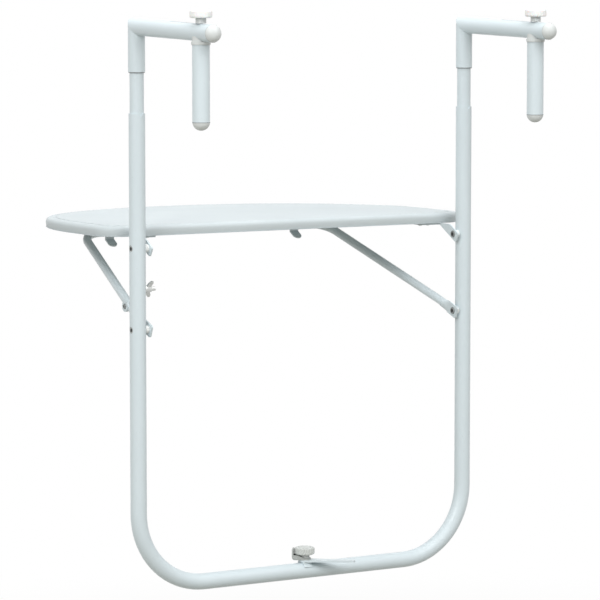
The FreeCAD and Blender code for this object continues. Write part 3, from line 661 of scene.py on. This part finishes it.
class TABLE_OT_tabletop(bpy.types.Operator):
    """Tray with a crowned top and a rolled edge, woven relief in its recess and beads on its border"""
    bl_idname = "balcony_table.tabletop"
    bl_label = "Tabletop"

    def execute(self, context):
        size = context.scene.table_top
        skin = tabletop_finish()
        dress("top_plastic", skin)
        edge = Edge(top_edge(720, 60, 60, 400))
        self.tray(size, skin, edge)
        self.weave(size, skin, edge)
        self.beads(size, skin)
        return {"FINISHED"}

    def tray(self, size, skin, edge):
        """The CAD tray with its edge moved to the photographed one, rolled above and tucked in below."""
        tall = 0.0162
        belly = 0.58 * tall
        cuts = (0.08, 0.18, 0.3, 0.44, 0.58, 0.66)
        fillet_r = 0.005
        fillet_reach = 0.0051
        wall_slack = 0.00015
        border_strip = 0.0165
        long_edge = 0.007
        border = 0.0153
        skin_depth = 0.0012
        moved_strip = 0.06
        fading_strip = 0.04
        full_drop = 0.75 * tall
        rim_z = top_high.z - tall
        bm = bmesh.new()
        bm.from_mesh(frame["nodes"]["tabletop"].data)
        bmesh.ops.remove_doubles(bm, verts=bm.verts, dist=0.00001)
        for share in cuts:
            bmesh.ops.bisect_plane(bm, geom=bm.verts[:] + bm.edges[:] + bm.faces[:], dist=1e-6,
                                   plane_co=(0.0, 0.0, rim_z + share * tall), plane_no=(0.0, 0.0, 1.0))
        old_edge = Edge(cad_edge())
        long = [e for e in bm.edges if e.calc_length() > long_edge
                and all(old_edge.inset(v.co)[0] < border_strip for v in e.verts)]
        bmesh.ops.subdivide_edges(bm, edges=long, cuts=2)
        for v in bm.verts:
            height = v.co.z - rim_z
            inset, foot = old_edge.inset(v.co)
            if inset > moved_strip:
                continue
            # A point is outside when it lies on the skirt's outer wall or on the fillet above it.
            fillet = max(0.0, (height - tall + fillet_r) / fillet_r)
            outside = inset < fillet_reach * (1.0 - math.sqrt(max(0.0, 1.0 - fillet * fillet))) + wall_slack
            new_inset = inset
            if outside and height > belly:
                rise = min(1.0, (height - belly) / (tall - belly))
                new_inset = size.roll * (1.0 - math.sqrt(1.0 - rise * rise))
            elif outside and height > -0.0001:
                new_inset = size.tuck * (1.0 - height / belly) ** 2
            place, out = edge.towards(foot)
            moved = place - new_inset * out
            share = min(1.0, max(0.0, (moved_strip - inset) / fading_strip))
            v.co.x += share * (moved.x - v.co.x)
            v.co.y += share * (moved.y - v.co.y)
            drop = min(1.0, max(0.0, height / full_drop))
            near = 1.0 if outside or height > tall - skin_depth else 0.0
            if near and inset < border:
                v.co.z -= drop * size.step
            v.co.z -= drop * fall(new_inset, v.co.y, size, near)
        mesh = to_mesh(bm, "woven_top", 0.5)
        obj = piece("woven_top", mesh, "tabletop", skin.material)
        mesh.set_sharp_from_angle(angle=math.radians(32.0))
        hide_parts("tabletop")

    def weave(self, size, skin, edge):
        """The woven relief as a closed slab in the tray's recess."""
        outline = drawn_in(top_edge(), size.border)
        wide = max(p.x for p in outline)
        near = min(p.y for p in outline)
        far = max(p.y for p in outline)
        facets = 5
        recess = 0.00058
        step = size.strand / facets
        floor_z = top_high.z - recess
        bm = bmesh.new()
        bmesh.ops.create_grid(bm, x_segments=int(2 * wide / step), y_segments=int((far - near) / step),
                              size=1.0)
        bmesh.ops.scale(bm, verts=bm.verts, vec=(wide, (far - near) / 2, 1.0))
        bmesh.ops.translate(bm, verts=bm.verts, vec=(0.0, (far + near) / 2, floor_z))
        for v in bm.verts:
            v.co.z += self.strand_height(v.co.x, v.co.y - near, size.strand) * size.relief
        for a, b in zip(outline, outline[1:] + outline[:1]):
            run = b - a
            if run.length < 1e-5:
                continue
            outward = Vector((run.y, -run.x, 0.0)).normalized()
            bmesh.ops.bisect_plane(bm, geom=bm.verts[:] + bm.edges[:] + bm.faces[:], dist=1e-7,
                                   plane_co=a, plane_no=outward, clear_outer=True)
        rim = [e for e in bm.edges if e.is_boundary]
        wall = bmesh.ops.extrude_edge_only(bm, edges=rim)
        low = [g for g in wall["geom"] if isinstance(g, bmesh.types.BMVert)]
        for v in low:
            v.co.z = floor_z
        bmesh.ops.holes_fill(bm, edges=[e for e in bm.edges if e.is_boundary], sides=0)
        for v in bm.verts:
            v.co.z -= fall(edge.inset(v.co)[0], v.co.y, size)
        mesh = to_mesh(bm, "woven_relief", 0.5)
        piece("woven_relief", mesh, "tabletop", skin.material)

    @staticmethod
    def strand_height(x, y, strand):
        """Height, from 0 to 1, of a plain weave of flat rounded strands."""
        roundness = 0.92
        dip = 0.3
        flatness = 0.7
        column, across = divmod(x / strand, 1.0)
        row, along = divmod(y / strand, 1.0)
        if (int(column) + int(row)) % 2:
            across, along = along, across
        side = 2 * across - 1
        crown = math.sqrt(max(0.0, 1 - roundness * side * side))
        arch = dip
        if 0.0 < along < 1.0:
            arch = dip + 0.7 * math.cos(0.5 * math.pi * (2 * along - 1)) ** flatness
        return crown * arch

    def beads(self, size, skin):
        """A row of low oval beads round the border."""
        inset = 0.72 * size.border
        half_bead = (0.42 * size.bead_pitch, 0.0012, 0.00045, 1.0)
        sunk = 0.0001
        outline = drawn_in(top_edge(), inset)
        bm = bmesh.new()
        length = 0.0
        target = 0.0
        for a, b in zip(outline, outline[1:] + outline[:1]):
            run = b - a
            while run.length > 1e-6 and target <= length + run.length:
                at = a + run * ((target - length) / run.length)
                turn = Matrix.Rotation(math.atan2(run.y, run.x), 4, "Z")
                bead_z = top_high.z - fall(inset, at.y, size) - size.step - sunk
                place = Matrix.Translation((at.x, at.y, bead_z)) @ turn @ Matrix.Diagonal(half_bead)
                bmesh.ops.create_icosphere(bm, subdivisions=2, radius=1.0, matrix=place)
                target += size.bead_pitch
            length += run.length
        mesh = to_mesh(bm, "border_beads", 0.5)
        piece("border_beads", mesh, "tabletop", skin.material)


class TABLE_OT_stage(bpy.types.Operator):
    """Pale floor, even sky, soft overhead light and the camera"""
    bl_idname = "balcony_table.stage"
    bl_label = "Stage"

    def execute(self, context):
        size = context.scene.table_stage
        self.floor(size)
        self.sky(size)
        self.lamp("overhead", (0.0, 0.3, 2.6), size.overhead, 2.4)
        self.lamp("front", (0.4, -3.2, 2.6), size.key, 3.0)
        self.lamp("left", (-3.0, -1.6, 1.6), size.fill, 1.8)
        self.camera()
        return {"FINISHED"}

    def floor(self, size):
        """A pale floor that the camera sees as white, apart from the shadow round the object."""
        half_width = 14.0
        shadow_scale = 0.7
        shadow_share = 0.7
        bm = bmesh.new()
        bmesh.ops.create_grid(bm, x_segments=1, y_segments=1, size=half_width)
        bmesh.ops.translate(bm, verts=bm.verts, vec=(0.0, 0.0, leg_low.z - size.floor_drop))
        mesh = to_mesh(bm, "floor")
        obj = bpy.data.objects.new("floor", mesh)
        bpy.context.collection.objects.link(obj)
        pale = Finish("pale_floor", {"Roughness": 0.9})
        pale.set("Base Color", (0.40, 0.393, 0.355))
        near = pale.node("ShaderNodeTexGradient", {"gradient_type": "QUADRATIC_SPHERE"}, {
            "Vector": pale.stretch(shadow_scale, shadow_scale, 0.0)}, "Fac")
        white = pale.node("ShaderNodeEmission", {}, {"Color": (1.0, 1.0, 1.0), "Strength": 1.0})
        lit = Value(pale.tree, pale.shader.outputs[0])
        share = pale.shows() * (1.0 - shadow_share * near)
        look = pale.node("ShaderNodeMixShader", {}, {0: share, 1: lit, 2: white})
        pale.feed(pale.tree.nodes["Material Output"].inputs["Surface"], look)
        mesh.materials.append(pale.material)

    def sky(self, size):
        """Even light from all round, seen as white."""
        world = bpy.data.worlds.new("even_sky")
        bpy.context.scene.world = world
        world.use_nodes = True
        air = Wiring(world.node_tree)
        glow = air.node("ShaderNodeBackground", {}, {"Color": (1.0, 0.995, 0.975), "Strength": size.sky})
        white = air.node("ShaderNodeBackground", {}, {"Color": (1.0, 1.0, 1.0), "Strength": 1.0})
        look = air.node("ShaderNodeMixShader", {}, {0: air.shows(), 1: glow, 2: white})
        air.feed(world.node_tree.nodes["World Output"].inputs["Surface"], look)

    def lamp(self, name, at, power, width):
        """A square soft light that faces the middle of the table."""
        towards = (0.0, 0.1, -0.4)
        data = bpy.data.lights.new(name, "AREA")
        data.energy = power
        data.size = width
        obj = bpy.data.objects.new(name, data)
        obj.location = at
        obj.rotation_euler = (Vector(towards) - Vector(at)).to_track_quat("-Z", "Y").to_euler()
        bpy.context.collection.objects.link(obj)

    def camera(self):
        """The photograph's viewing angle, from the railing side, left of the object and a little above."""
        turn = math.radians(31.48)
        tilt = math.radians(5.42)
        data = bpy.data.cameras.new("photo_camera")
        data.sensor_width = 36.0
        data.lens = 191.8
        data.clip_end = 60.0
        obj = bpy.data.objects.new("photo_camera", data)
        obj.location = (-2.5134, -3.99495, 0.0592)
        obj.rotation_euler = (math.pi / 2 - tilt, 0.0, -turn)
        bpy.context.collection.objects.link(obj)
        bpy.context.scene.camera = obj


class TABLE_PT_build(bpy.types.Panel):
    """Lists the settings and the steps of the balcony table"""
    bl_label = "Balcony Table"
    bl_idname = "TABLE_PT_build"
    bl_space_type = "VIEW_3D"
    bl_region_type = "UI"
    bl_category = "Balcony Table"

    def draw(self, context):
        for group in (context.scene.table_finish, context.scene.table_top, context.scene.table_stage):
            box = self.layout.box()
            for name in group.bl_rna.properties.keys():
                if name not in ("rna_type", "name"):
                    box.prop(group, name)
        for step in build_steps:
            self.layout.operator(step.bl_idname)


build_steps = (TABLE_OT_coated_steel, TABLE_OT_sleeve_shadow_rings, TABLE_OT_plastic_fittings,
               TABLE_OT_metal_fittings, TABLE_OT_sockets, TABLE_OT_foot_cheeks, TABLE_OT_tabletop,
               TABLE_OT_stage)
setting_groups = {"table_finish": FinishSettings, "table_top": TopSettings, "table_stage": StageSettings}


def register():
    for cls in (*setting_groups.values(), *build_steps, TABLE_PT_build):
        bpy.utils.register_class(cls)
    for name, group in setting_groups.items():
        setattr(bpy.types.Scene, name, bpy.props.PointerProperty(type=group))


def unregister():
    for name in setting_groups:
        delattr(bpy.types.Scene, name)
    for cls in reversed((*setting_groups.values(), *build_steps, TABLE_PT_build)):
        bpy.utils.unregister_class(cls)


def main():
    register()
    bpy.context.scene.view_settings.view_transform = "Standard"
    for step in build_steps:
        group, name = step.bl_idname.split(".")
        getattr(getattr(bpy.ops, group), name)()


if __name__ == "__main__":
    main()
